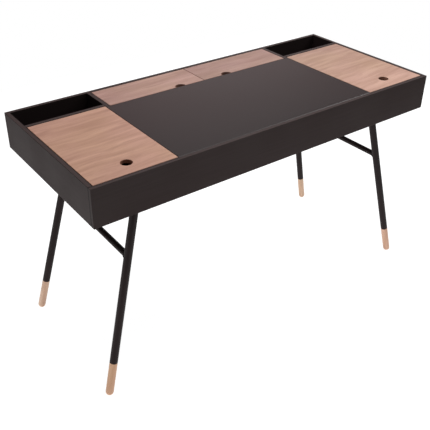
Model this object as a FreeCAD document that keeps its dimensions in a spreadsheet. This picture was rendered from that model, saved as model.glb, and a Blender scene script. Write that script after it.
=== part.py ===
import FreeCAD
import Part
import Sketcher

import math
import os
import re

# A writing desk: a shallow box on four splayed legs. The box holds a fixed writing surface, two open
# trays in its back corners and four bays under hinged lids. Each lid turns about its back edge.
# X is the width, Y runs from the front (-) to the back (+), Z is up. The origin is on the floor, under
# the middle of the box. Lengths are millimetres.

SIZES = {
    "desk_width": 1300,
    "desk_depth": 557,
    "desk_height": 755,
    "box_height": 119,
    "panel_thick": 13,
    "bottom_thick": 12,
    "bottom_recess": 4,
    "edge_radius": 0.8,
    "surface_front_radius": 2.4,
    # bays, measured between the faces of the boards round them
    "side_bay_width": 260,
    "rear_bay_depth": 130,
    "tray_depth": 109,
    # lids
    "lid_thick": 12,
    "lid_gap": 1.8,
    "seam_gap": 2,
    "lid_rest_width": 12,
    "lid_rest_height": 18,
    "finger_hole_radius": 17,
    "finger_hole_inset": 55,
    "notch_radius": 19,
    "notch_from_seam": 96,
    # hinges: the axis lies axis_drop under the desk's top, lid_to_axis behind the lid's edge and
    # axis_to_board in front of the board that carries it
    "axis_drop": 1.6,
    "lid_to_axis": 1.1,
    "axis_to_board": 2,
    "hinge_length": 40,
    "knuckle_length": 12,
    "knuckle_radius": 1.5,
    "knuckle_relief": 2,
    "knuckle_gap": 0.4,
    "pin_radius": 0.7,
    "pin_clearance": 0.05,
    "leaf_thick": 0.8,
    "leaf_drop": 9,
    "leaf_rise": 1.2,
    "side_hinge_offset": 83,
    "rear_hinge_offset": 125,
    # countersunk hinge screws
    "hinge_screw_radius": 0.8,
    "hinge_screw_head_radius": 1.5,
    "hinge_screw_head_depth": 0.6,
    "hinge_screw_length": 8,
    "hinge_screw_offset": 12,
    "hinge_screw_drop": 5.5,
    "pilot_clearance": 0.05,
    "pilot_spare": 0.5,
    # legs: where each axis meets the floor, and how far it leans inwards per millimetre of height
    "leg_radius": 12.5,
    "leg_wall": 1.5,
    "foot_at_x": 639.5,
    "foot_at_y": 249,
    "lean_x": 0.2554,
    "lean_y": 0.079,
    "foot_length": 116,
    "foot_tip_height": 11.9,
    "spigot_length": 30,
    "spigot_clearance": 0.05,
    "stretcher_radius": 9.75,
    "stretcher_height": 456,
    # mounting plates
    "plate_side": 90,
    "plate_thick": 4,
    "plate_corner_radius": 8,
    "plate_hole_spacing": 68,
    "plate_hole_radius": 2.6,
    "plate_screw_radius": 2.2,
    "plate_screw_head_radius": 4.4,
    "plate_screw_head_height": 2.6,
    "plate_screw_length": 13,
}

# Planes that several boards share, as formulas of the sheet's cells.
BOX_LOW = "(desk_height - box_height)"
INNER_X = "(desk_width / 2 - panel_thick)"
INNER_Y = "(desk_depth / 2 - panel_thick)"
BAY_FLOOR = "(desk_height - box_height + bottom_recess + bottom_thick)"
DIVIDER_X = "(desk_width / 2 - panel_thick - side_bay_width)"
REAR_BAY_Y = "(desk_depth / 2 - panel_thick - rear_bay_depth)"
TRAY_Y = "(desk_depth / 2 - panel_thick - tray_depth)"
SURFACE_LOW = "(desk_height - panel_thick)"
LID_LOW = "(desk_height - lid_thick)"
INNER_WIDTH = "(desk_width - 2 * panel_thick)"
INNER_DEPTH = "(desk_depth - 2 * panel_thick)"
MIDDLE_WIDTH = "(desk_width - 4 * panel_thick - 2 * side_bay_width)"
BAY_HEIGHT = "(box_height - bottom_recess - bottom_thick)"
HINGE_GAP = "(lid_to_axis + axis_to_board)"

SIDES = {"left": -1, "right": 1}
ENDS = {"front": -1, "back": 1}

document = FreeCAD.newDocument("writing_desk")
sheet = document.addObject("Spreadsheet::Sheet", "sizes")
for row, (alias, amount) in enumerate(SIZES.items(), start=1):
    sheet.set("A%d" % row, alias)
    sheet.set("B%d" % row, str(amount))
    sheet.setAlias("B%d" % row, alias)
document.recompute()

nodes = []


def size(alias):
    """The number in one cell of the sheet."""
    return float(sheet.get(alias))


def formula(text):
    """The text of an expression, with each word in it read from the sheet."""
    return re.sub(r"[a-z_]+", lambda word: "sizes." + word.group(0), text)


def signed(sign, text):
    """A formula times -1 or 1."""
    return "%d * (%s)" % (sign, text)


def bind(item, rules):
    """Bind each named property of an object to its formula."""
    for name, text in rules.items():
        item.setExpression(name, formula(text))


def place(item, corner):
    """Bind an object's position to three formulas."""
    bind(item, {"Placement.Base." + axis: text for axis, text in zip("xyz", corner)})


def keep(item, label):
    """Name an object and list it as one of the desk's pieces."""
    item.Label = label
    nodes.append(item)
    return item


# Boards, by sketches and pads


def new_sketch(body, name, role, lift="0"):
    """A sketch on a body's own origin plane, lifted along the plane's normal."""
    sketch = body.newObject("Sketcher::SketchObject", name)
    plane = next(item for item in body.Origin.OriginFeatures if item.Role == role)
    sketch.AttachmentSupport = [(plane, "")]
    sketch.MapMode = "FlatFace"
    bind(sketch, {"AttachmentOffset.Base.z": lift})
    return sketch


def fix_point(sketch, geometry, point, spot):
    """Bind a point of a sketch to two formulas, measured from the sketch's origin."""
    drawn = sketch.getPoint(geometry, point)
    for kind, text, length in zip(("DistanceX", "DistanceY"), spot, drawn):
        index = sketch.addConstraint(Sketcher.Constraint(kind, -1, 1, geometry, point, length))
        bind(sketch, {"Constraints[%d]" % index: text})


def draw_outline(sketch, corners):
    """A closed outline of straight lines through corners, each a pair of formulas."""
    count = len(corners)
    first = sketch.GeometryCount
    turn = FreeCAD.Rotation(FreeCAD.Vector(0, 0, 1), 360 / count)
    spot = FreeCAD.Vector(100, 0, 0)
    for _ in corners:
        following = turn.multVec(spot)
        sketch.addGeometry(Part.LineSegment(spot, following), False)
        spot = following
    for index, corner in enumerate(corners):
        after = first + (index + 1) % count
        sketch.addConstraint(Sketcher.Constraint("Coincident", first + index, 2, after, 1))
        fix_point(sketch, first + index, 1, corner)


def draw_circle(sketch, centre, radius):
    """A circle whose centre and radius are formulas."""
    circle = Part.Circle(FreeCAD.Vector(0, 0, 0), FreeCAD.Vector(0, 0, 1), 5.0)
    index = sketch.addGeometry(circle, False)
    fix_point(sketch, index, 3, centre)
    held = sketch.addConstraint(Sketcher.Constraint("Radius", index, 5.0))
    bind(sketch, {"Constraints[%d]" % held: radius})


def rectangle(width, depth):
    """The corners of a rectangle that starts at the sketch's origin."""
    return [("0", "0"), (width, "0"), (width, depth), ("0", depth)]


def pad(body, sketch, thickness):
    """Thicken a sketch along its plane's normal."""
    feature = body.newObject("PartDesign::Pad", sketch.Name + "_pad")
    feature.Profile = sketch
    bind(feature, {"Length": thickness})
    document.recompute()


def pocket(body, sketch, depth, along_normal):
    """Cut a sketch out of a body, along its plane's normal or against it."""
    before = body.Shape.Volume
    feature = body.newObject("PartDesign::Pocket", sketch.Name + "_pocket")
    feature.Profile = sketch
    feature.Reversed = along_normal
    bind(feature, {"Length": depth})
    document.recompute()
    if body.Shape.Volume > before - 0.1:
        raise RuntimeError(sketch.Name + " cuts nothing")


def round_edges(body):
    """Round every edge of a body a little, as sanding and lacquer leave it."""
    sharp = body.Tip
    feature = body.newObject("PartDesign::Fillet", body.Name + "_rounding")
    feature.Base = (sharp, [""])
    feature.UseAllEdges = True
    bind(feature, {"Radius": "edge_radius"})
    document.recompute()


def new_body(label, corner):
    """An empty body at a place given by three formulas."""
    body = keep(document.addObject("PartDesign::Body", label), label)
    place(body, corner)
    return body


def ease_front_edge(body, radius):
    """Round the long edge at a board's top front more than its other edges."""
    sharp = body.Tip
    box = sharp.Shape.BoundBox
    names = []
    for index, edge in enumerate(sharp.Shape.Edges, start=1):
        middle = edge.CenterOfMass
        if middle.y < box.Center.y and middle.z > box.Center.z and edge.Length > box.YLength:
            names.append("Edge%d" % index)
    feature = body.newObject("PartDesign::Fillet", body.Name + "_front_easing")
    feature.Base = (sharp, names)
    bind(feature, {"Radius": radius})
    document.recompute()


def board(label, extent, corner, front_radius=None):
    """A rectangular board: its X, Y and Z sizes and its lowest corner, all formulas."""
    body = new_body(label, corner)
    sketch = new_sketch(body, label + "_outline", "XY_Plane")
    draw_outline(sketch, rectangle(extent[0], extent[1]))
    pad(body, sketch, extent[2])
    if front_radius:
        ease_front_edge(body, front_radius)
    round_edges(body)
    return body


def drill(body, name, role, lift, spots, radius, depth, along_normal):
    """Blind holes of one size, from a plane of the body."""
    sketch = new_sketch(body, name, role, lift)
    for spot in spots:
        draw_circle(sketch, spot, radius)
    pocket(body, sketch, depth, along_normal)


# The box


def outer_panels():
    """The front laps over the ends of the sides, and the back stands between them."""
    front_corner = ("-desk_width / 2", "-desk_depth / 2", BOX_LOW)
    board("front_panel", ("desk_width", "panel_thick", "box_height"), front_corner)
    for side, sign in SIDES.items():
        left = signed(sign, INNER_X + " + panel_thick / 2") + " - panel_thick / 2"
        extent = ("panel_thick", "desk_depth - panel_thick", "box_height")
        board(side + "_side_panel", extent, (left, "-" + INNER_Y, BOX_LOW))
    back_corner = ("-" + INNER_X, INNER_Y, BOX_LOW)
    back = board("back_panel", (INNER_WIDTH, "panel_thick", "box_height"), back_corner)
    centres = [signed(sign, MIDDLE_WIDTH + " / 4 + seam_gap / 4 - lid_gap / 2") for sign in SIDES.values()]
    spots = []
    for centre in centres:
        spots += hinge_screw_spots("%s + %s" % (INNER_X, centre), "rear_hinge_offset", "box_height")
    drill_for_hinges(back, spots)


def hinge_screw_spots(centre, hinge_offset, top):
    """Where the screws of a lid's two hinges enter: centre is the lid's middle, top its upper face."""
    height = "%s - axis_drop - hinge_screw_drop" % top
    spots = []
    for hinge in (-1, 1):
        for screw in (-1, 1):
            across = signed(hinge, hinge_offset) + " + " + signed(screw, "hinge_screw_offset")
            spots.append(("%s + %s" % (centre, across), height))
    return spots


def drill_for_hinges(body, spots):
    """Pilot holes for hinge screws in a board's front face."""
    depth = "hinge_screw_length - leaf_thick + pilot_spare"
    radius = "hinge_screw_radius + pilot_clearance"
    drill(body, body.Name + "_hinge_pilots", "XZ_Plane", "0", spots, radius, depth, False)


def bottom_panel():
    """The bottom stands between the four outer panels, a little above their lower edges."""
    corner = ("-" + INNER_X, "-" + INNER_Y, BOX_LOW + " + bottom_recess")
    body = board("bottom_panel", (INNER_WIDTH, INNER_DEPTH, "bottom_thick"), corner)
    spots = []
    for side in SIDES.values():
        for end in ENDS.values():
            for spot in plate_hole_spots():
                x = "%s + %s + %s" % (INNER_X, leg_top_x(side), spot[0])
                y = "%s + %s + %s" % (INNER_Y, leg_top_y(end), spot[1])
                spots.append((x, y))
    depth = "plate_screw_length - plate_thick + pilot_spare"
    radius = "plate_screw_radius + pilot_clearance"
    drill(body, "bottom_pilots", "XY_Plane", "0", spots, radius, depth, True)


def dividers():
    """Boards from front to back. They carry the writing surface on their lower front part."""
    for side, sign in SIDES.items():
        left = signed(sign, DIVIDER_X + " - panel_thick / 2") + " - panel_thick / 2"
        body = new_body(side + "_divider", (left, "-" + INNER_Y, BAY_FLOOR))
        sketch = new_sketch(body, body.Name + "_outline", "YZ_Plane")
        step = "(%s - rear_bay_depth)" % INNER_DEPTH
        low = "(%s - panel_thick)" % BAY_HEIGHT
        corners = [("0", "0"), (INNER_DEPTH, "0"), (INNER_DEPTH, BAY_HEIGHT)]
        corners += [(step, BAY_HEIGHT), (step, low), ("0", low)]
        draw_outline(sketch, corners)
        pad(body, sketch, "panel_thick")
        round_edges(body)


def tray_dividers():
    """Crosswise boards in front of the open trays. The side lids hang on them."""
    for side, sign in SIDES.items():
        middle = DIVIDER_X + " + side_bay_width / 2"
        left = signed(sign, middle) + " - side_bay_width / 2"
        corner = (left, TRAY_Y + " - panel_thick", BAY_FLOOR)
        body = board(side + "_tray_divider", ("side_bay_width", "panel_thick", BAY_HEIGHT), corner)
        drill_for_hinges(body, hinge_screw_spots("side_bay_width / 2", "side_hinge_offset", BAY_HEIGHT))


def middle_boards():
    """The writing surface, what carries it, and the partition of the rear bay."""
    surface_depth = "(%s - rear_bay_depth)" % INNER_DEPTH
    surface_corner = ("-" + DIVIDER_X, "-" + INNER_Y, SURFACE_LOW)
    surface_extent = ("2 * " + DIVIDER_X, surface_depth, "panel_thick")
    board("writing_surface", surface_extent, surface_corner, "surface_front_radius")
    rail_height = "(%s - panel_thick)" % BAY_HEIGHT
    rail_corner = ("-%s / 2" % MIDDLE_WIDTH, REAR_BAY_Y + " - panel_thick", BAY_FLOOR)
    board("rear_bay_rail", (MIDDLE_WIDTH, "panel_thick", rail_height), rail_corner)
    rib_depth = "(%s - rear_bay_depth - panel_thick)" % INNER_DEPTH
    rib_corner = ("-panel_thick / 2", "-" + INNER_Y, BAY_FLOOR)
    board("surface_rib", ("panel_thick", rib_depth, rail_height), rib_corner)
    partition_height = "(%s - lid_thick)" % BAY_HEIGHT
    partition_corner = ("-panel_thick / 2", REAR_BAY_Y, BAY_FLOOR)
    board("rear_bay_partition", ("panel_thick", "rear_bay_depth", partition_height), partition_corner)


def lid_rests():
    """Ledges under each lid's free edge or outer end, which hold it flush with the desk's top."""
    low = LID_LOW + " - lid_rest_height"
    for side, sign in SIDES.items():
        middle = DIVIDER_X + " + side_bay_width / 2"
        corner = (signed(sign, middle) + " - side_bay_width / 2", "-" + INNER_Y, low)
        board(side + "_lid_rest", ("side_bay_width", "lid_rest_width", "lid_rest_height"), corner)
        middle = "%s / 2 - lid_rest_width / 2" % MIDDLE_WIDTH
        corner = (signed(sign, middle) + " - lid_rest_width / 2", REAR_BAY_Y, low)
        board("rear_%s_lid_rest" % side, ("lid_rest_width", "rear_bay_depth", "lid_rest_height"), corner)


# Lids. Each body's origin is at the middle of the lid's lower back edge.


def lid(label, centre, board_face, width, depth, hinge_offset, cut_round):
    """A lid with mortises for its two hinges. cut_round adds its finger hole or notch."""
    body = new_body(label, (centre, "%s - %s" % (board_face, HINGE_GAP), LID_LOW))
    sketch = new_sketch(body, label + "_outline", "XY_Plane")
    half = "(%s) / 2" % width
    back = "-(%s)" % depth
    draw_outline(sketch, [("-" + half, back), (half, back), (half, "0"), ("-" + half, "0")])
    pad(body, sketch, "lid_thick")
    cut_round(body, depth)
    round_edges(body)
    mortises = new_sketch(body, label + "_mortises", "XY_Plane", "lid_thick - axis_drop - leaf_drop")
    for hinge in (-1, 1):
        middle = signed(hinge, hinge_offset)
        low = middle + " - hinge_length / 2"
        high = middle + " + hinge_length / 2"
        draw_outline(mortises, [(low, "-leaf_thick"), (high, "-leaf_thick"), (high, "1"), (low, "1")])
    pocket(body, mortises, "lid_thick", True)
    spots = hinge_screw_spots("0", hinge_offset, "lid_thick")
    depth_in_lid = "hinge_screw_length - leaf_thick + pilot_spare"
    radius = "hinge_screw_radius + pilot_clearance"
    drill(body, label + "_hinge_pilots", "XZ_Plane", "leaf_thick", spots, radius, depth_in_lid, True)


def finger_hole(body, depth):
    """A round hole near the free edge."""
    spot = ("0", "finger_hole_inset - (%s)" % depth)
    name = body.Name + "_finger_hole"
    drill(body, name, "XY_Plane", "0", [spot], "finger_hole_radius", "lid_thick", True)


def finger_notch(shift):
    """A half-round notch in the free edge, shifted along it."""

    def cut(body, depth):
        spots = [(shift, "-(%s)" % depth)]
        drill(body, body.Name + "_notch", "XY_Plane", "0", spots, "notch_radius", "lid_thick", True)

    return cut


def lids_and_hinges():
    """The four lids, and two hinges for each."""
    side_width = "side_bay_width - 2 * lid_gap"
    side_depth = "%s - tray_depth - panel_thick - lid_gap - %s" % (INNER_DEPTH, HINGE_GAP)
    side_board = TRAY_Y + " - panel_thick"
    rear_width = "%s / 2 - seam_gap / 2 - lid_gap" % MIDDLE_WIDTH
    rear_depth = "rear_bay_depth - lid_gap - %s" % HINGE_GAP
    for side, sign in SIDES.items():
        centre = signed(sign, DIVIDER_X + " + side_bay_width / 2")
        lid(side + "_lid", centre, side_board, side_width, side_depth, "side_hinge_offset", finger_hole)
        hinges(side + "_lid", centre, side_board, "side_hinge_offset")
        middle = "(%s / 4 + seam_gap / 4 - lid_gap / 2)" % MIDDLE_WIDTH
        centre = signed(sign, middle)
        notch = finger_notch(signed(sign, "notch_from_seam - " + middle))
        label = "rear_%s_lid" % side
        lid(label, centre, INNER_Y, rear_width, rear_depth, "rear_hinge_offset", notch)
        hinges(label, centre, INNER_Y, "rear_hinge_offset")


# Butt hinges. Each is built about its own axis, and the second is the first's mirror image.

ALONG_X = FreeCAD.Rotation(FreeCAD.Vector(0, 1, 0), 90)


def solid_box(name, extent, corner):
    """A block, its sizes and lowest corner all formulas."""
    item = document.addObject("Part::Box", name)
    bind(item, dict(zip(("Length", "Width", "Height"), extent)))
    place(item, corner)
    return item


def rod_along_x(name, radius, low, length):
    """A round rod on the hinge's axis, from x = low."""
    item = document.addObject("Part::Cylinder", name)
    item.Placement = FreeCAD.Placement(FreeCAD.Vector(0, 0, 0), ALONG_X)
    bind(item, {"Radius": radius, "Height": length, "Placement.Base.x": low})
    return item


def countersunk_bore(name, across, face, direction):
    """The space of one hinge screw: a cone at the leaf's face, then a round hole through the leaf."""
    turn = FreeCAD.Rotation(FreeCAD.Vector(0, 0, 1), FreeCAD.Vector(0, direction, 0))
    spot = (across, face, "-hinge_screw_drop")
    cone = document.addObject("Part::Cone", name + "_sink")
    hole = document.addObject("Part::Cylinder", name + "_hole")
    for item in (cone, hole):
        item.Placement = FreeCAD.Placement(FreeCAD.Vector(0, 0, 0), turn)
        place(item, spot)
    head = "hinge_screw_head_radius + pilot_clearance"
    neck = "hinge_screw_radius + pilot_clearance"
    bind(cone, {"Radius1": head, "Radius2": neck, "Height": "hinge_screw_head_depth"})
    bind(hole, {"Radius": neck, "Height": "2 * leaf_thick"})
    return [cone, hole]


def join(name, parts):
    """Fuse several solids."""
    item = document.addObject("Part::MultiFuse", name)
    item.Shapes = parts
    return item


def subtract(name, base, tools):
    """Cut one solid, or several together, out of another."""
    item = document.addObject("Part::Cut", name)
    item.Base = base
    item.Tool = tools[0] if len(tools) == 1 else join(name + "_tools", tools)
    return item


def leaf(name, direction, near, knuckles, reliefs):
    """One leaf. direction is 1 behind the axis and -1 in front; near is the leaf's distance from it."""
    middle = signed(direction, near + " + leaf_thick / 2")
    corner = ("-hinge_length / 2", middle + " - leaf_thick / 2", "-leaf_drop")
    plate = solid_box(name + "_plate", ("hinge_length", "leaf_thick", "leaf_drop + leaf_rise"), corner)
    barrels = []
    for index, (low, length) in enumerate(knuckles):
        barrels.append(rod_along_x("%s_knuckle_%d" % (name, index), "knuckle_radius", low, length))
    bore = rod_along_x(name + "_bore", "pin_radius + pin_clearance", "-hinge_length", "2 * hinge_length")
    spaces = []
    for index, (low, length) in enumerate(reliefs):
        relief_corner = (low, middle + " - leaf_thick", "-knuckle_relief")
        extent = (length, "2 * leaf_thick", "2 * knuckle_relief")
        spaces.append(solid_box("%s_relief_%d" % (name, index), extent, relief_corner))
    for index, sign in enumerate((-1, 1)):
        across = signed(sign, "hinge_screw_offset")
        face = signed(direction, near)
        spaces += countersunk_bore("%s_screw_%d" % (name, index), across, face, direction)
    flat = subtract(name + "_flat", plate, spaces)
    return subtract(name, join(name + "_whole", [flat] + barrels), [bore])


def mirrored_pair(label, item, centre):
    """An object and its mirror image about the plane x = centre, as one piece of two solids."""
    twin = document.addObject("Part::Mirroring", item.Name + "_twin")
    twin.Source = item
    twin.Normal = FreeCAD.Vector(1, 0, 0)
    bind(twin, {"Base.x": centre})
    pair = document.addObject("Part::Compound", label)
    pair.Links = [item, twin]
    keep(pair, label)


def hinges(label, centre, board_face, hinge_offset):
    """A lid's two hinges: fixed leaves, moving leaves, pins and the screws of each."""
    half = "hinge_length / 2"
    moving_low = "knuckle_length + knuckle_gap - " + half
    moving_length = "hinge_length - 2 * knuckle_length - 2 * knuckle_gap"
    ends = [("-" + half, "knuckle_length"), (half + " - knuckle_length", "knuckle_length")]
    wide = "knuckle_length + knuckle_gap"
    end_spaces = [("-" + half, wide), (half + " - knuckle_length - knuckle_gap", wide)]
    middle_space = [("knuckle_length - " + half, "hinge_length - 2 * knuckle_length")]
    fixed = leaf(label + "_hinge_fixed", 1, "axis_to_board - leaf_thick", ends, middle_space)
    moving = leaf(label + "_hinge_moving", -1, "lid_to_axis", [(moving_low, moving_length)], end_spaces)
    pin = rod_along_x(label + "_hinge_pin", "pin_radius", "-" + half, "hinge_length")
    axis = ("%s + %s" % (centre, hinge_offset), board_face + " - axis_to_board", "desk_height - axis_drop")
    for item in (fixed, moving):
        place(item, axis)
    place(pin, ("%s + %s - %s" % (centre, hinge_offset, half), axis[1], axis[2]))
    document.recompute()
    mirrored_pair(label + "_fixed_leaves", fixed, centre)
    mirrored_pair(label + "_moving_leaves", moving, centre)
    mirrored_pair(label + "_hinge_pins", pin, centre)
    document.recompute()
    axis_spot = fixed.Placement.Base
    fixed_face = size("axis_to_board") - size("leaf_thick")
    hinge_screws(label + "_fixed_screws", axis_spot, 1, fixed_face, hinge_offset)
    hinge_screws(label + "_moving_screws", axis_spot, -1, size("lid_to_axis"), hinge_offset)


# Fasteners: groups of identical turned screws


def screw(head_profile, shank_radius, shank_end):
    """A screw on the Z axis, tip upwards. head_profile is its outline below the shank, axis first."""
    tip = shank_radius * 0.5
    outline = head_profile + [(shank_radius, shank_end - tip), (tip, shank_end), (0, shank_end)]
    points = [FreeCAD.Vector(radius, 0, height) for radius, height in outline]
    face = Part.Face(Part.makePolygon(points + points[:1]))
    return face.revolve(FreeCAD.Vector(0, 0, 0), FreeCAD.Vector(0, 0, 1), 360)


def group(label, pattern, spots, turn):
    """Copies of one fastener at each spot, as one piece of separate solids."""
    copies = []
    for spot in spots:
        copied = pattern.copy()
        copied.Placement = FreeCAD.Placement(spot, turn)
        copies.append(copied)
    item = document.addObject("Part::Feature", label)
    item.Shape = Part.makeCompound(copies)
    keep(item, label)


def hinge_screws(label, axis_spot, direction, face, hinge_offset):
    """The four countersunk screws of a lid's two hinges, flush with the leaves."""
    head = size("hinge_screw_head_radius")
    shank = size("hinge_screw_radius")
    profile = [(0, 0), (head, 0), (shank, size("hinge_screw_head_depth"))]
    pattern = screw(profile, shank, size("hinge_screw_length"))
    turn = FreeCAD.Rotation(FreeCAD.Vector(0, 0, 1), FreeCAD.Vector(0, direction, 0))
    spots = []
    for hinge_shift in (0, -2 * size(hinge_offset)):
        for sign in (-1, 1):
            across = hinge_shift + sign * size("hinge_screw_offset")
            spots.append(axis_spot + FreeCAD.Vector(across, direction * face, -size("hinge_screw_drop")))
    group(label, pattern, spots, turn)


def plate_screws():
    """The pan-head screws that hold the mounting plates up to the bottom panel."""
    head = size("plate_screw_head_radius")
    shank = size("plate_screw_radius")
    height = size("plate_screw_head_height")
    crown = head * 0.75
    profile = [(0, -height), (crown, -height), (head, -height * 0.6), (head, 0), (shank, 0)]
    pattern = screw(profile, shank, size("plate_screw_length"))
    low = size("desk_height") - size("box_height")
    half = size("plate_hole_spacing") / 2
    spots = []
    for side in SIDES.values():
        for end in ENDS.values():
            x = side * (size("foot_at_x") - size("lean_x") * low)
            y = end * (size("foot_at_y") - size("lean_y") * low)
            for across in (-half, half):
                for along in (-half, half):
                    spots.append(FreeCAD.Vector(x + across, y + along, low))
    group("plate_screws", pattern, spots, FreeCAD.Rotation())


# Legs. Each leans inwards along a line from the floor to the middle of its mounting plate.


def leg_top_x(side):
    """Where a leg's axis meets its plate, across the desk."""
    return signed(side, "foot_at_x - lean_x * " + BOX_LOW)


def leg_top_y(end):
    """Where a leg's axis meets its plate, along the desk's depth."""
    return signed(end, "foot_at_y - lean_y * " + BOX_LOW)


def leg_placement(side, end, along=0.0):
    """The frame of a leg: Z runs up its axis, from along millimetres above the floor."""
    axis = FreeCAD.Vector(-side * size("lean_x"), -end * size("lean_y"), 1).normalize()
    floor_spot = FreeCAD.Vector(side * size("foot_at_x"), end * size("foot_at_y"), 0)
    return FreeCAD.Placement(floor_spot + axis * along, FreeCAD.Rotation(FreeCAD.Vector(0, 0, 1), axis))


def plate_hole_spots():
    """The four holes of a mounting plate, about its middle."""
    half = "plate_hole_spacing / 2"
    return [(signed(across, half), signed(along, half)) for across in (-1, 1) for along in (-1, 1)]


def mounting_plate(label, side, end):
    """A square steel plate with rounded corners and four screw holes, flush with the box's lower edges."""
    body = new_body(label, (leg_top_x(side), leg_top_y(end), BOX_LOW))
    sketch = new_sketch(body, label + "_outline", "XY_Plane")
    half = "plate_side / 2"
    draw_outline(sketch, [("-" + half, "-" + half), (half, "-" + half), (half, half), ("-" + half, half)])
    pad(body, sketch, "plate_thick")
    corners = []
    for index, edge in enumerate(body.Shape.Edges, start=1):
        if abs(edge.tangentAt(edge.FirstParameter).z) > 0.9:
            corners.append("Edge%d" % index)
    sharp = body.Tip
    rounding = body.newObject("PartDesign::Fillet", label + "_corners")
    rounding.Base = (sharp, corners)
    bind(rounding, {"Radius": "plate_corner_radius"})
    document.recompute()
    spots = plate_hole_spots()
    drill(body, label + "_holes", "XY_Plane", "0", spots, "plate_hole_radius", "plate_thick", True)


def wooden_foot(label, side, end):
    """A turned foot with a round tip and a spigot that fills the tube's end, cut flat at the floor."""
    turned = document.addObject("PartDesign::Body", label + "_turned")
    sketch = new_sketch(turned, label + "_profile", "XZ_Plane")
    radius = size("leg_radius")
    tip_height = size("foot_tip_height")
    shoulder = size("foot_length")
    spigot_radius = radius - size("leg_wall") - size("spigot_clearance")
    spigot_end = shoulder + size("spigot_length")
    drawn = [(radius, tip_height), (radius, shoulder), (spigot_radius, shoulder)]
    drawn += [(spigot_radius, spigot_end), (0, spigot_end), (0, tip_height - radius)]
    points = [FreeCAD.Vector(across, up, 0) for across, up in drawn]
    for start, stop in zip(points, points[1:]):
        sketch.addGeometry(Part.LineSegment(start, stop), False)
    round_tip = Part.Circle(FreeCAD.Vector(0, tip_height, 0), FreeCAD.Vector(0, 0, 1), radius)
    tip = sketch.addGeometry(Part.ArcOfCircle(round_tip, -math.pi / 2, 0), False)
    for index in range(tip):
        sketch.addConstraint(Sketcher.Constraint("Coincident", index, 2, index + 1, 1))
    sketch.addConstraint(Sketcher.Constraint("Coincident", tip, 2, 0, 1))
    spigot = "leg_radius - leg_wall - spigot_clearance"
    top = "foot_length + spigot_length"
    corners = [("leg_radius", "foot_tip_height"), ("leg_radius", "foot_length"), (spigot, "foot_length")]
    corners += [(spigot, top), ("0", top), ("0", "foot_tip_height - leg_radius")]
    for index, corner in enumerate(corners):
        fix_point(sketch, index, 1, corner)
    on_axis = Sketcher.Constraint("PointOnObject", tip, 3, -2)
    sketch.addConstraint(on_axis)
    turning = turned.newObject("PartDesign::Revolution", label + "_turning")
    turning.Profile = sketch
    turning.ReferenceAxis = (sketch, ["V_Axis"])
    turning.Angle = 360
    document.recompute()
    turned.Placement = leg_placement(side, end)
    under_floor = floor_block(label, side, end)
    keep(subtract(label, turned, [under_floor]), label)


def floor_block(label, side, end):
    """The space just under a foot."""
    across = signed(side, "foot_at_x") + " - 2 * leg_radius"
    along = signed(end, "foot_at_y") + " - 2 * leg_radius"
    extent = ("4 * leg_radius", "4 * leg_radius", "2 * leg_radius")
    return solid_box(label + "_floor", extent, (across, along, "-2 * leg_radius"))


def leg_tube(label, side, end):
    """A steel tube from the foot's shoulder up to the plate, cut level at its top. Returns its outside."""
    start = leg_placement(side, end, size("foot_length"))
    walls = []
    for part, radius in (("outside", "leg_radius"), ("inside", "leg_radius - leg_wall")):
        item = document.addObject("Part::Cylinder", "%s_%s" % (label, part))
        item.Placement = start
        bind(item, {"Radius": radius, "Height": "desk_height"})
        walls.append(item)
    block_extent = ("8 * plate_side", "8 * plate_side", "desk_height")
    block_corner = (leg_top_x(side) + " - 4 * plate_side", leg_top_y(end) + " - 4 * plate_side", BOX_LOW)
    above = solid_box(label + "_above", block_extent, block_corner)
    tube = subtract(label, subtract(label + "_hollow", walls[0], walls[1:]), [above])
    keep(tube, label)
    return walls[0]


def stretcher(label, side, legs):
    """A level tube between the legs of one side, its ends shaped to fit their round walls."""
    rod = document.addObject("Part::Cylinder", label + "_rod")
    along_y = FreeCAD.Rotation(FreeCAD.Vector(0, 0, 1), FreeCAD.Vector(0, 1, 0))
    rod.Placement = FreeCAD.Placement(FreeCAD.Vector(0, 0, 0), along_y)
    reach = "(foot_at_y - lean_y * stretcher_height)"
    bind(rod, {"Radius": "stretcher_radius", "Height": "2 * " + reach})
    place(rod, (signed(side, "foot_at_x - lean_x * stretcher_height"), "-" + reach, "stretcher_height"))
    keep(subtract(label, rod, legs), label)


def leg_frames():
    """Two legs, their plates and feet, and a stretcher on each side."""
    for side_name, side in SIDES.items():
        outsides = []
        for end_name, end in ENDS.items():
            prefix = "%s_%s" % (end_name, side_name)
            mounting_plate(prefix + "_plate", side, end)
            outsides.append(leg_tube(prefix + "_leg", side, end))
            wooden_foot(prefix + "_foot", side, end)
        stretcher(side_name + "_stretcher", side, outsides)
    plate_screws()


def check_objects():
    """Stop if anything in the document failed, or a piece has no valid shape."""
    document.recompute()
    for item in document.Objects:
        if "Invalid" in item.State or "Error" in item.State:
            raise RuntimeError("%s failed: %s" % (item.Name, item.State))
    for item in nodes:
        if item.Shape.isNull() or not item.Shape.isValid() or not item.Shape.Solids:
            raise RuntimeError(item.Label + " has no valid shape")


outer_panels()
bottom_panel()
dividers()
tray_dividers()
middle_boards()
lid_rests()
lids_and_hinges()
leg_frames()
check_objects()

os.makedirs("parts", exist_ok=True)
for node in nodes:
    node.Shape.exportStep("parts/%s.step" % node.Label)
    print("%-28s %d solids %12.1f mm3" % (node.Label, len(node.Shape.Solids), node.Shape.Volume))
print(len(nodes), "pieces")
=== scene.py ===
import math

import bmesh
import bpy
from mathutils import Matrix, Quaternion, Vector


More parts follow.
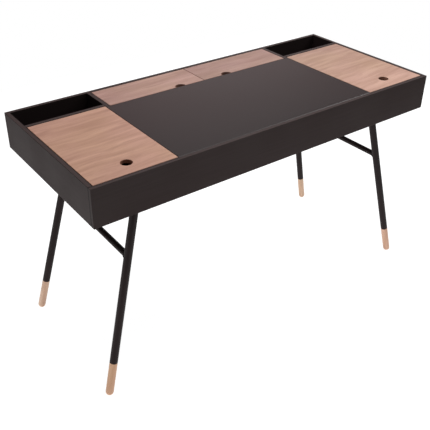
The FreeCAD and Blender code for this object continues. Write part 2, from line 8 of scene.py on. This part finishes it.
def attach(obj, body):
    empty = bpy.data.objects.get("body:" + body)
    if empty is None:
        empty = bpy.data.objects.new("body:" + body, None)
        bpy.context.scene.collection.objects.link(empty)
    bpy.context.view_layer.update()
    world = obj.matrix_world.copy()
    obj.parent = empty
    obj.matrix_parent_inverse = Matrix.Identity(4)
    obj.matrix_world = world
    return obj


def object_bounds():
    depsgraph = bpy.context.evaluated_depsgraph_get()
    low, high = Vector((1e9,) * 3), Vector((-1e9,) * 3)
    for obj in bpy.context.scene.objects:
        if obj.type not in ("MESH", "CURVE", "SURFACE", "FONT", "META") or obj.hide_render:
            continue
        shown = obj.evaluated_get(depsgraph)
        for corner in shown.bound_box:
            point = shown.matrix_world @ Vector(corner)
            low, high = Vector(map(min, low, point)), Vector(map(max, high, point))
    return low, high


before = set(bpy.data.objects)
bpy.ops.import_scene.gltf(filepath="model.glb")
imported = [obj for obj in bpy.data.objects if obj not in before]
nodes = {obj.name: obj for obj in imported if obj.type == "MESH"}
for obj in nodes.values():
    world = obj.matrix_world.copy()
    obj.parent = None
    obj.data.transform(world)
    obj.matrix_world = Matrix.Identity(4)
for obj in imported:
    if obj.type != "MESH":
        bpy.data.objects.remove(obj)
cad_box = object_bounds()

# A writing desk with walnut lids in a black-brown lacquered box, on black steel legs with
# wooden feet. Metres, in the frame's own axes: X is the width, Y runs to the back, Z is up.

scene = bpy.context.scene
high_corner = cad_box[1]

LIDS = ("left_lid", "right_lid", "rear_left_lid", "rear_right_lid")
LEGS = ("front_left", "back_left", "front_right", "back_right")
QUARTER = math.pi / 2

# The box's lowest edge, and the thickness of its boards
BOX_LOW = 0.636
BOARD = 0.013

# A leg's centre line: its x and y on the floor, and how far each moves inwards per metre of height
LEG_FOOT = (0.6395, 0.249)
LEG_LEAN = (0.2554, 0.079)
LEG_RADIUS = 0.0125
STRETCHER_RADIUS = 0.00975
STRETCHER_HEIGHT = 0.456


# Camera, floor and light

CAMERA_AZIMUTH = math.radians(-36.41)
CAMERA_ELEVATION = math.radians(30.74)
CAMERA_ROLL = math.radians(0.37)
CAMERA_PLACE = Vector((-1.2433, -1.5607, 1.6031))
CAMERA_LENS = 55.32
CAMERA_SHIFT = (0.0216, -0.0766)
SENSOR_WIDTH = 36.0

WHITE = (1, 1, 1, 1)
FLOOR_HALF = 2.2
FLOOR_COLOUR = (0.3, 0.3, 0.3, 1)
FLOOR_ROUGHNESS = 0.9
FLOOR_GLOW = 0.95
ROOM_GLOW = 0.1

# Each light's name, place, size and power
LIGHTS = (
    ("right_light", (2.3, -0.2, 2.6), 1.6, 40),
    ("top_light", (0.1, 0.2, 2.9), 1.8, 46),
    ("back_light", (1.85, 2.5, 1.35), 1.6, 13),
    ("low_left_light", (-2.6, -0.1, 0.35), 0.7, 10),
    ("low_front_light", (-0.2, -1.5, 0.2), 0.5, 2.4),
)


def add_camera():
    """The camera stands to the left of the desk's front edge and looks down on it."""
    level = math.cos(CAMERA_ELEVATION)
    sideways = math.sin(CAMERA_AZIMUTH) * level
    forwards = -math.cos(CAMERA_AZIMUTH) * level
    back = Vector((sideways, forwards, math.sin(CAMERA_ELEVATION)))
    data = bpy.data.cameras.new("camera")
    data.lens = CAMERA_LENS
    data.sensor_width = SENSOR_WIDTH
    data.shift_x, data.shift_y = CAMERA_SHIFT
    camera = bpy.data.objects.new("camera", data)
    scene.collection.objects.link(camera)
    camera.rotation_mode = "QUATERNION"
    camera.location = CAMERA_PLACE
    roll = Quaternion((0, 0, 1), CAMERA_ROLL)
    camera.rotation_quaternion = (-back).to_track_quat("-Z", "Y") @ roll
    scene.camera = camera


def add_area_light(name, place, size, power):
    """A square soft light that faces the middle of the desk's top."""
    data = bpy.data.lights.new(name, "AREA")
    data.shape = "SQUARE"
    data.size = size
    data.energy = power
    light = bpy.data.objects.new(name, data)
    scene.collection.objects.link(light)
    light.location = place
    light.rotation_mode = "QUATERNION"
    target = Vector((0, 0, high_corner.z))
    light.rotation_quaternion = (target - Vector(place)).to_track_quat("-Z", "Y")


def add_surround():
    """A room that looks white but lights the desk only a little."""
    scene.view_settings.view_transform = "Standard"
    world = bpy.data.worlds.new("surround")
    scene.world = world
    world.use_nodes = True
    tree = world.node_tree
    background = tree.nodes["Background"]
    background.inputs["Color"].default_value = WHITE
    rays = tree.nodes.new("ShaderNodeLightPath")
    strength = tree.nodes.new("ShaderNodeMapRange")
    strength.inputs["To Min"].default_value = ROOM_GLOW
    strength.inputs["To Max"].default_value = 1.0
    tree.links.new(rays.outputs["Is Camera Ray"], strength.inputs["Value"])
    tree.links.new(strength.outputs["Result"], background.inputs["Strength"])


def add_floor():
    """A square sheet of paper, which glows so that it looks white and its shadows stay faint."""
    corners = [(-1, -1), (1, -1), (1, 1), (-1, 1)]
    places = [(x * FLOOR_HALF, y * FLOOR_HALF, 0) for x, y in corners]
    mesh = bpy.data.meshes.new("floor")
    mesh.from_pydata(places, [], [(0, 1, 2, 3)])
    floor = bpy.data.objects.new("floor", mesh)
    scene.collection.objects.link(floor)
    material = bpy.data.materials.new("floor_paper")
    material.use_nodes = True
    shader = material.node_tree.nodes["Principled BSDF"]
    shader.inputs["Base Color"].default_value = FLOOR_COLOUR
    shader.inputs["Roughness"].default_value = FLOOR_ROUGHNESS
    shader.inputs["Emission Color"].default_value = WHITE
    shader.inputs["Emission Strength"].default_value = FLOOR_GLOW
    mesh.materials.append(material)


add_camera()
add_surround()
add_floor()
for light_facts in LIGHTS:
    add_area_light(*light_facts)


# Material nodes

def srgb(red, green, blue):
    """A linear colour from one given in 0 to 255 as it looks on a screen."""
    linear = []
    for part in (red, green, blue):
        part = part / 255
        linear.append(part / 12.92 if part <= 0.04045 else ((part + 0.055) / 1.055) ** 2.4)
    return (*linear, 1.0)


class Graph:
    """Adds linked nodes to a new material and keeps the calls short."""

    def __init__(self, name):
        self.material = bpy.data.materials.new(name)
        self.material.use_nodes = True
        self.tree = self.material.node_tree
        self.shader = self.tree.nodes["Principled BSDF"]
        coordinates = self.add("ShaderNodeTexCoord")
        self.place = coordinates.outputs["Object"]
        self.facing = coordinates.outputs["Normal"]

    def add(self, kind, **settings):
        node = self.tree.nodes.new(kind)
        for name, value in settings.items():
            setattr(node, name, value)
        return node

    def feed(self, socket, value):
        """Link an output to a socket, or set the socket's own value."""
        if isinstance(value, bpy.types.NodeSocket):
            self.tree.links.new(value, socket)
        else:
            socket.default_value = value

    def stretched(self, scale, shift=(0, 0, 0), turn=(0, 0, 0)):
        """Object coordinates, turned, then scaled and shifted."""
        turned = self.add("ShaderNodeMapping", vector_type="POINT")
        self.feed(turned.inputs["Vector"], self.place)
        turned.inputs["Rotation"].default_value = turn
        mapped = self.add("ShaderNodeMapping", vector_type="POINT")
        self.feed(mapped.inputs["Vector"], turned.outputs["Vector"])
        mapped.inputs["Scale"].default_value = scale
        mapped.inputs["Location"].default_value = shift
        return mapped.outputs["Vector"]

    def split(self, vector):
        node = self.add("ShaderNodeSeparateXYZ")
        self.feed(node.inputs["Vector"], vector)
        return [node.outputs[axis] for axis in "XYZ"]

    def joined(self, x, y, z):
        node = self.add("ShaderNodeCombineXYZ")
        for axis, value in zip("XYZ", (x, y, z)):
            self.feed(node.inputs[axis], value)
        return node.outputs["Vector"]

    def math(self, operation, first, second=0.0, third=0.0):
        node = self.add("ShaderNodeMath", operation=operation)
        for socket, value in zip(node.inputs, (first, second, third)):
            self.feed(socket, value)
        return node.outputs["Value"]

    def noise(self, where, scale=1.0, detail=2.0, roughness=0.5, distortion=0.0):
        node = self.add("ShaderNodeTexNoise")
        self.feed(node.inputs["Vector"], where)
        node.inputs["Scale"].default_value = scale
        node.inputs["Detail"].default_value = detail
        node.inputs["Roughness"].default_value = roughness
        node.inputs["Distortion"].default_value = distortion
        return node.outputs["Fac"]

    def ramp(self, factor, positions, colours):
        """A colour ramp that passes through each colour at its position."""
        node = self.add("ShaderNodeValToRGB")
        self.feed(node.inputs["Fac"], factor)
        elements = node.color_ramp.elements
        while len(elements) < len(positions):
            elements.new(0.5)
        for element, position, colour in zip(elements, positions, colours):
            element.position = position
            element.color = colour
        return node.outputs["Color"]

    def mix(self, factor, first, second, blend="MIX"):
        node = self.add("ShaderNodeMix", data_type="RGBA", blend_type=blend)
        self.feed(node.inputs[0], factor)
        self.feed(node.inputs[6], first)
        self.feed(node.inputs[7], second)
        return node.outputs[2]

    def times(self, first, second):
        """One colour times another."""
        return self.mix(1.0, first, second, "MULTIPLY")

    def span(self, factor, low, high, start=0.0, stop=1.0):
        """Map a factor from start..stop to low..high."""
        node = self.add("ShaderNodeMapRange")
        self.feed(node.inputs["Value"], factor)
        node.inputs["From Min"].default_value = start
        node.inputs["From Max"].default_value = stop
        node.inputs["To Min"].default_value = low
        node.inputs["To Max"].default_value = high
        return node.outputs["Result"]

    def shaded(self, colour, factor):
        """A colour times a factor."""
        node = self.add("ShaderNodeVectorMath", operation="SCALE")
        self.feed(node.inputs["Vector"], colour)
        self.feed(node.inputs["Scale"], factor)
        return node.outputs["Vector"]

    def painted_light_along_y(self, colour, slope):
        """Painted light: a colour times a factor that is 1 where y is 0 and grows by slope per
        metre of y.
        """
        y = self.split(self.place)[1]
        return self.shaded(colour, self.math("MULTIPLY_ADD", y, slope, 1.0))

    def flatness(self):
        """1 on faces square to an axis, less on rounded edges."""
        sides = [self.math("ABSOLUTE", part) for part in self.split(self.facing)]
        return self.math("MAXIMUM", sides[0], self.math("MAXIMUM", sides[1], sides[2]))

    def bump(self, height, distance, strength):
        node = self.add("ShaderNodeBump")
        node.inputs["Strength"].default_value = strength
        node.inputs["Distance"].default_value = distance
        self.feed(node.inputs["Height"], height)
        return node.outputs["Normal"]

    def finish(self, **sockets):
        """Feed the shader's sockets; underscores stand for spaces."""
        for name, value in sockets.items():
            self.feed(self.shader.inputs[name.replace("_", " ")], value)
        return self.material


# Where most of a noise's values lie: a fine one's, and a cloudy one's
FINE_RANGE = (0.3, 0.7)
CLOUD_RANGE = (0.35, 0.65)


# Wood

# Each wood's dark, middle and light rings, and where they stand on the rings' noise
WALNUT_TONES = (srgb(169, 131, 112), srgb(181, 143, 124), srgb(192, 154, 134))
FOOT_TONES = (srgb(204, 156, 125), srgb(220, 175, 144), srgb(236, 194, 163))
TONE_STOPS = (0.30, 0.50, 0.70)

# The pinker and the more khaki tint of the patches, and the tint of cut edges
PATCH_TINTS = ((1.0, 0.985, 1.02, 1), (0.985, 1.0, 0.95, 1))
CUT_EDGE_TINT = (0.95, 0.82, 0.76, 1)

# Flames and pores: their colour, how strongly it covers, and over which values of their noise
FLAME_COLOUR = srgb(150, 112, 95)
FLAME_COVER = 0.55
FLAME_RANGE = (0.58, 0.78)
PORE_COLOUR = srgb(128, 92, 76)
PORE_COVER = 0.3
PORE_RANGE = (0.62, 0.72)
PORE_DEEPEST = 0.4
FIBRE_SHADES = (0.935, 1.065)
FIBRE_RANGE = (0.25, 0.75)

# The width of a growth ring, and how far the rings stray slowly and quickly along the grain
LID_RING = 0.008
FOOT_RING = 0.006
WANDER = 0.035
RIPPLE = 0.0018

# Cycles of each pattern per metre along, across and through the grain
WANDER_SCALE = (2.2, 4, 4)
RIPPLE_SCALE = (12, 30, 30)
FIBRE_SCALE = (11, 380, 380)
PATCH_SCALE = (5, 8, 8)
PORE_SCALE = (90, 1500, 1500)

# Cycles per metre along the grain, and of the flames per metre away from the heart line
RING_ALONG = 10.0
FLAME_ALONG = 9.0
FLAME_AWAY = 55.0

# A piece's seed shifts its patterns by the seed times these steps
SEED_STEPS = (3.7, 1.9, 5.3)
RING_SEED_STEP = 2.3
FLAME_SEED_STEP = 4.1
FIRST_LID_SEED = 1.0
FIRST_FOOT_SEED = 11.0

# A heart line's y and z where x is 0, and how far it climbs per metre of x. Each lid's lies off
# to one side, so that most of its face shows straight grain.
LID_HEARTS = {
    "left_lid": (0.21, 0.66, 0.10),
    "right_lid": (-0.30, 0.65, -0.12),
    "rear_left_lid": (0.36, 0.67, 0.09),
    "rear_right_lid": (0.05, 0.64, -0.08),
}
FOOT_HEART = (0.05, 0.03, 0.02)

# What sets one sheet of veneer apart from the next is its tint. Each lid's slope is painted light:
# its colour grows by this much per metre of y, as light falls across it.
LID_TINTS = {
    "left_lid": (0.975, 0.905, 0.89),
    "right_lid": (0.91, 0.92, 0.95),
    "rear_left_lid": (0.81, 0.79, 0.873),
    "rear_right_lid": (0.715, 0.70, 0.785),
}
LID_PAINTED_LIGHT_SLOPES = {"left_lid": -0.2, "right_lid": -0.7, "rear_left_lid": 0.0, "rear_right_lid": 0.0}
FOOT_TINTS = {
    "front_left": (1.03, 1.04, 1.01),
    "back_left": (0.97, 1.05, 1.14),
    "front_right": (1.0, 0.99, 1.06),
    "back_right": (0.98, 1.08, 1.13),
}


def wood(name, seed, tones, heart, ring_width, turn=(0, 0, 0)):
    """Wood with its grain along X, or turned: growth rings round a tilted heart line.

    Flames, patches of a pinker or more khaki tint, fibres and pores lie over the rings.
    """
    graph = Graph(name)
    shift = tuple(seed * step for step in SEED_STEPS)

    def pattern(scale, detail=2.0, roughness=0.5):
        place = graph.stretched(scale, shift, turn)
        return graph.noise(place, detail=detail, roughness=roughness)

    along, across, up = graph.split(graph.stretched((1, 1, 1), (0, 0, 0), turn))
    wander = graph.span(pattern(WANDER_SCALE, detail=3.0, roughness=0.55), -WANDER, WANDER)
    ripple = graph.span(pattern(RIPPLE_SCALE, roughness=0.55), -RIPPLE, RIPPLE)
    heart_y, heart_z, climb = heart
    off_side = graph.math("ADD", graph.math("SUBTRACT", across, heart_y), wander)
    off_up = graph.math("MULTIPLY_ADD", along, climb, graph.math("SUBTRACT", up, heart_z))
    squares = [graph.math("POWER", off, 2.0) for off in (off_side, off_up)]
    reach = graph.math("ADD", graph.math("SQRT", graph.math("ADD", *squares)), ripple)

    def beside_rings(away_scale, along_scale, seed_step):
        """Coordinates that follow the growth rings."""
        away = graph.math("MULTIPLY", reach, away_scale)
        return graph.joined(away, graph.math("MULTIPLY", along, along_scale), seed * seed_step)

    ring_place = beside_rings(1 / ring_width, RING_ALONG, RING_SEED_STEP)
    rings = graph.noise(ring_place, scale=0.5, detail=3.0)
    fibres = pattern(FIBRE_SCALE, detail=4.0, roughness=0.6)
    patches = pattern(PATCH_SCALE)
    flames = graph.noise(beside_rings(FLAME_AWAY, FLAME_ALONG, FLAME_SEED_STEP))
    pores = pattern(PORE_SCALE, detail=1.0)
    colour = graph.ramp(rings, TONE_STOPS, tones)
    colour = graph.mix(graph.span(flames, 0.0, FLAME_COVER, *FLAME_RANGE), colour, FLAME_COLOUR)
    colour = graph.times(colour, graph.ramp(patches, CLOUD_RANGE, PATCH_TINTS))
    colour = graph.shaded(colour, graph.span(fibres, *FIBRE_SHADES, *FIBRE_RANGE))
    pore_mask = graph.span(pores, 0.0, PORE_COVER, *PORE_RANGE)
    colour = graph.mix(pore_mask, colour, PORE_COLOUR)
    return graph, colour, fibres, pore_mask


def pitted(graph, pore_mask, distance, strength):
    """A bump that sinks the wood's pores."""
    return graph.bump(graph.span(pore_mask, 0.0, -1.0, 0.0, PORE_DEEPEST), distance, strength)


def walnut(lid):
    """A veneered lid: oiled walnut on its faces and redder, end-grain cut edges."""
    name = "walnut_" + lid
    seed = FIRST_LID_SEED + LIDS.index(lid)
    graph, colour, fibres, pore_mask = wood(name, seed, WALNUT_TONES, LID_HEARTS[lid], LID_RING)
    colour = graph.times(colour, (*LID_TINTS[lid], 1))
    # Painted light that brightens or darkens the lid along y
    colour = graph.painted_light_along_y(colour, LID_PAINTED_LIGHT_SLOPES[lid])
    level = graph.math("ABSOLUTE", graph.split(graph.facing)[2])
    cut_edge = graph.times(colour, CUT_EDGE_TINT)
    return graph.finish(
        Base_Color=graph.mix(graph.span(level, 0.0, 1.0, 0.2, 0.8), cut_edge, colour),
        Roughness=graph.span(fibres, 0.50, 0.64, *FINE_RANGE),
        Specular_IOR_Level=0.35,
        Normal=pitted(graph, pore_mask, 0.00008, 0.6),
    )


def turned_wood(leg):
    """A leg's turned foot: pale wood, its grain along the leg."""
    name = "wood_" + leg + "_foot"
    seed = FIRST_FOOT_SEED + LEGS.index(leg)
    turn = tuple(leg_axis(leg).rotation_difference(Vector((1, 0, 0))).to_euler())
    graph, colour, fibres, pore_mask = wood(name, seed, FOOT_TONES, FOOT_HEART, FOOT_RING, turn)
    return graph.finish(
        Base_Color=graph.times(colour, (*FOOT_TINTS[leg], 1)),
        Roughness=graph.span(fibres, 0.42, 0.56, *FINE_RANGE),
        Specular_IOR_Level=0.4,
        Normal=pitted(graph, pore_mask, 0.00006, 0.5),
    )


# Lacquer, laminate and metal

# Cycles per metre of the boards' fine speckle
SPECKLE_SCALE = 2600.0

# The lacquer's two tones, and its grain's cycles per metre along, across and through the grain
LACQUER_TONES = (srgb(51, 40, 39), srgb(55, 44, 43))
LACQUER_GRAIN = (5, 150, 150)

# Shades are factors on a colour. The rounded edges have one for the boards that run across the
# desk and one for those that run from front to back.
ARRIS_ACROSS = 0.7
ARRIS_LENGTHWISE = 0.1
JOINT_SHADE = 0.1
INSIDE_SHADE = 0.6
# Painted light: the factor that lightens the rims' upward faces
RIM_PAINTED_LIGHT = 1.35

# Where the shades blend in: distance from the lap joint's line, height, share of the desk's half
# width or half depth, flatness of a rounded edge, and how far a face is turned up
JOINT_RANGE = (0.0010, 0.0018)
RAISED_RANGE = (BOX_LOW + 0.02, BOX_LOW + 0.04)
OUTER_RANGE = (0.990, 0.998)
ARRIS_RANGE = (0.93, 0.99)
UPWARD_RANGE = (0.3, 0.7)

LAMINATE_TONES = (srgb(52, 39, 39), srgb(55, 42, 42))
# Painted light: how much the laminate's colour brightens per metre towards the back
LAMINATE_PAINTED_LIGHT_SLOPE = 1.3
EASED_RANGE = (0.90, 0.995)

COAT_TONES = (srgb(36, 28, 28), srgb(44, 34, 34))

# A plated steel's colour and the shadow in its brushing
HINGE_TONES = (srgb(78, 68, 60), srgb(52, 45, 40))
SCREW_TONES = (srgb(120, 118, 114), srgb(84, 82, 80))
BRUSHING_SCALE = (60, 1800, 1800)


def lacquer(name, arris_shade, turn=(0, 0, 0)):
    """Stained board under thin satin lacquer, with orange peel and faint grain along X, or turned.

    It is dark along its rounded edges and at the front lap joint, darker inside the box, and
    painted lighter on the rims that face up, where light falls on them.
    """
    graph = Graph(name)
    x, y, z = graph.split(graph.place)
    sideways = graph.math("DIVIDE", graph.math("ABSOLUTE", x), high_corner.x)
    endways = graph.math("DIVIDE", graph.math("ABSOLUTE", y), high_corner.y)
    outer = graph.span(graph.math("MAXIMUM", sideways, endways), 0.0, 1.0, *OUTER_RANGE)
    upward = graph.span(graph.split(graph.facing)[2], 0.0, 1.0, *UPWARD_RANGE)
    raised = graph.span(z, 0.0, 1.0, *RAISED_RANGE)
    rim = graph.math("MULTIPLY", upward, raised)
    shown = graph.math("MAXIMUM", outer, rim)
    off_joint = graph.math("ABSOLUTE", graph.math("ADD", y, high_corner.y - BOARD))
    grain_place = graph.stretched(LACQUER_GRAIN, turn=turn)
    grain = graph.noise(grain_place, detail=5.0, roughness=0.6, distortion=0.3)
    cloud = graph.noise(graph.place, scale=4.0, detail=3.0)
    peel = graph.noise(graph.place, scale=450.0)
    speckle = graph.noise(graph.place, scale=SPECKLE_SCALE, detail=1.0)
    colour = graph.ramp(grain, FINE_RANGE, LACQUER_TONES)
    colour = graph.shaded(colour, graph.span(speckle, 0.90, 1.10, *FINE_RANGE))
    colour = graph.shaded(colour, graph.span(graph.flatness(), arris_shade, 1.0, *ARRIS_RANGE))
    colour = graph.shaded(colour, graph.span(off_joint, JOINT_SHADE, 1.0, *JOINT_RANGE))
    colour = graph.shaded(colour, graph.span(shown, INSIDE_SHADE, 1.0))
    # Painted light that lightens the rims that face up
    colour = graph.shaded(colour, graph.span(rim, 1.0, RIM_PAINTED_LIGHT))
    return graph.finish(
        Base_Color=colour,
        Roughness=graph.span(cloud, 0.58, 0.67, *CLOUD_RANGE),
        Specular_IOR_Level=0.14,
        Normal=graph.bump(graph.math("MULTIPLY_ADD", grain, 0.6, peel), 0.00005, 0.5),
    )


def laminate(name):
    """A smooth satin surface, with painted light that darkens it towards its front, whose eased
    edges are burnished by use.
    """
    graph = Graph(name)
    cloud = graph.noise(graph.place, scale=3.0, detail=3.0)
    speckle = graph.noise(graph.place, scale=SPECKLE_SCALE, detail=1.0)
    peel = graph.noise(graph.place, scale=700.0)
    # Painted light: the colour darkens towards the front and brightens towards the back
    colour = graph.painted_light_along_y(graph.ramp(cloud, CLOUD_RANGE, LAMINATE_TONES), LAMINATE_PAINTED_LIGHT_SLOPE)
    return graph.finish(
        Base_Color=graph.shaded(colour, graph.span(speckle, 0.93, 1.07, *FINE_RANGE)),
        Roughness=graph.span(cloud, 0.54, 0.58, *CLOUD_RANGE),
        Specular_IOR_Level=0.2,
        Coat_Weight=graph.span(graph.flatness(), 1.0, 0.0, *EASED_RANGE),
        Coat_Roughness=0.3,
        Normal=graph.bump(peel, 0.00003, 0.4),
    )


def powder_coat(name):
    """Satin black powder coat with its fine pebbled skin."""
    graph = Graph(name)
    pebbles = graph.noise(graph.place, scale=1400.0)
    cloud = graph.noise(graph.place, scale=8.0, detail=3.0)
    colour = graph.ramp(cloud, FINE_RANGE, COAT_TONES)
    return graph.finish(
        Base_Color=graph.shaded(colour, graph.span(pebbles, 0.85, 1.15, *FINE_RANGE)),
        Roughness=graph.span(pebbles, 0.46, 0.58, *FINE_RANGE),
        Specular_IOR_Level=0.12,
        Normal=graph.bump(pebbles, 0.00006, 0.5),
    )


def plated_steel(name, tones):
    """Dull plated steel, finely brushed."""
    graph = Graph(name)
    brushing = graph.noise(graph.stretched(BRUSHING_SCALE), detail=3.0, roughness=0.6)
    cloud = graph.noise(graph.place, scale=60.0, detail=3.0)
    colour = graph.mix(graph.span(brushing, 0.0, 0.5, *FINE_RANGE), *tones)
    return graph.finish(
        Base_Color=graph.shaded(colour, graph.span(cloud, 0.88, 1.08, *FINE_RANGE)),
        Metallic=1.0,
        Roughness=graph.span(brushing, 0.34, 0.52, *FINE_RANGE),
        Normal=graph.bump(brushing, 0.00002, 0.4),
    )


# Finishes of the CAD nodes

# How the names of the boards that run from front to back end
LENGTHWISE = ("side_panel", "left_divider", "right_divider", "surface_rib", "rear_bay_partition")


def dress(node, material):
    """Give a CAD node its material, in the slots that it has."""
    mesh = node.data
    if not mesh.materials:
        mesh.materials.append(material)
    for index in range(len(mesh.materials)):
        mesh.materials[index] = material


def leg_centre(leg, height):
    """The point on a leg's centre line at a height above the floor."""
    end, side = leg.split("_")
    x = (LEG_FOOT[0] - LEG_LEAN[0] * height) * (-1 if side == "left" else 1)
    y = (LEG_FOOT[1] - LEG_LEAN[1] * height) * (-1 if end == "front" else 1)
    return Vector((x, y, height))


def leg_axis(leg):
    """The direction of a leg, from its foot to its top."""
    return (leg_centre(leg, BOX_LOW) - leg_centre(leg, 0)).normalized()


lacquer_across = lacquer("lacquer_across", ARRIS_ACROSS)
lacquer_lengthwise = lacquer("lacquer_lengthwise", ARRIS_LENGTHWISE, (0, 0, QUARTER))
surface = laminate("surface_laminate")
steel_coat = powder_coat("black_powder_coat")
hinge_metal = plated_steel("hinge_bronze", HINGE_TONES)
screw_metal = plated_steel("screw_zinc", SCREW_TONES)

for name, node in nodes.items():
    if name == "writing_surface":
        dress(node, surface)
    elif name in LIDS:
        dress(node, walnut(name))
    elif name.endswith("_foot"):
        dress(node, turned_wood(name.removesuffix("_foot")))
    elif name.endswith(("_leg", "_plate", "_stretcher")):
        dress(node, steel_coat)
    elif name == "plate_screws":
        dress(node, screw_metal)
    elif name.startswith(LIDS) and name.endswith(("leaves", "pins", "screws")):
        dress(node, hinge_metal)
    elif name.endswith(LENGTHWISE):
        dress(node, lacquer_lengthwise)
    else:
        dress(node, lacquer_across)


# Weld beads

BEAD_RADIUS = 0.0021
BEAD_SINK = 0.0006
BEAD_RIPPLE = 0.12
BEAD_STEPS = 120
RIPPLE_STEPS = 4
SECTION_STEPS = 10


def weld_bead(name, path):
    """A closed, rippled bead. path holds its centres, each with two directions across the bead."""
    corners = []
    for step, (centre, first, second) in enumerate(path):
        radius = BEAD_RADIUS * (1 + BEAD_RIPPLE * math.cos(math.tau * step / RIPPLE_STEPS))
        for turn in range(SECTION_STEPS):
            angle = math.tau * turn / SECTION_STEPS
            corners.append(centre + (first * math.cos(angle) + second * math.sin(angle)) * radius)
    faces = []
    for step in range(len(path)):
        here = step * SECTION_STEPS
        there = (step + 1) % len(path) * SECTION_STEPS
        for turn in range(SECTION_STEPS):
            after = (turn + 1) % SECTION_STEPS
            faces.append((here + turn, there + turn, there + after, here + after))
    mesh = bpy.data.meshes.new(name)
    mesh.from_pydata(corners, [], faces)
    build = bmesh.new()
    build.from_mesh(mesh)
    bmesh.ops.recalc_face_normals(build, faces=build.faces)
    build.to_mesh(mesh)
    build.free()
    mesh.shade_smooth()
    mesh.materials.append(steel_coat)
    bead = bpy.data.objects.new(name, mesh)
    scene.collection.objects.link(bead)
    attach(bead, "desk")


def plate_bead(leg):
    """The bead where a leg's slanting tube meets the underside of its plate."""
    axis = leg_axis(leg)
    middle = leg_centre(leg, BOX_LOW)
    first = axis.orthogonal().normalized()
    second = axis.cross(first)
    down = Vector((0, 0, -1))
    path = []
    for step in range(BEAD_STEPS):
        angle = math.tau * step / BEAD_STEPS
        reach = (first * math.cos(angle) + second * math.sin(angle)) * LEG_RADIUS
        reach = reach - axis * (reach.z / axis.z)
        outward = reach.normalized()
        path.append((middle + reach + (outward + down) * BEAD_SINK, outward, down))
    weld_bead(leg + "_plate_weld", path)


def stretcher_bead(leg):
    """The saddle-shaped bead where a stretcher's end meets its leg."""
    axis = leg_axis(leg)
    joint = leg_centre(leg, STRETCHER_HEIGHT)
    towards_leg = Vector((0, math.copysign(1, joint.y), 0))
    slope = towards_leg - axis * towards_leg.dot(axis)
    path = []
    for step in range(BEAD_STEPS):
        angle = math.tau * step / BEAD_STEPS
        outward = Vector((math.cos(angle), 0, math.sin(angle)))
        offset = outward * STRETCHER_RADIUS
        offset_across = offset - axis * offset.dot(axis)
        half = slope.dot(offset_across)
        gap = offset_across.length_squared - LEG_RADIUS ** 2
        root = math.sqrt(half ** 2 - slope.length_squared * gap)
        travel = (-half - root) / slope.length_squared
        meeting = joint + offset + towards_leg * travel
        path.append((meeting + (outward - towards_leg) * BEAD_SINK, outward, -towards_leg))
    weld_bead(leg + "_stretcher_weld", path)


for leg in LEGS:
    plate_bead(leg)
    stretcher_bead(leg)
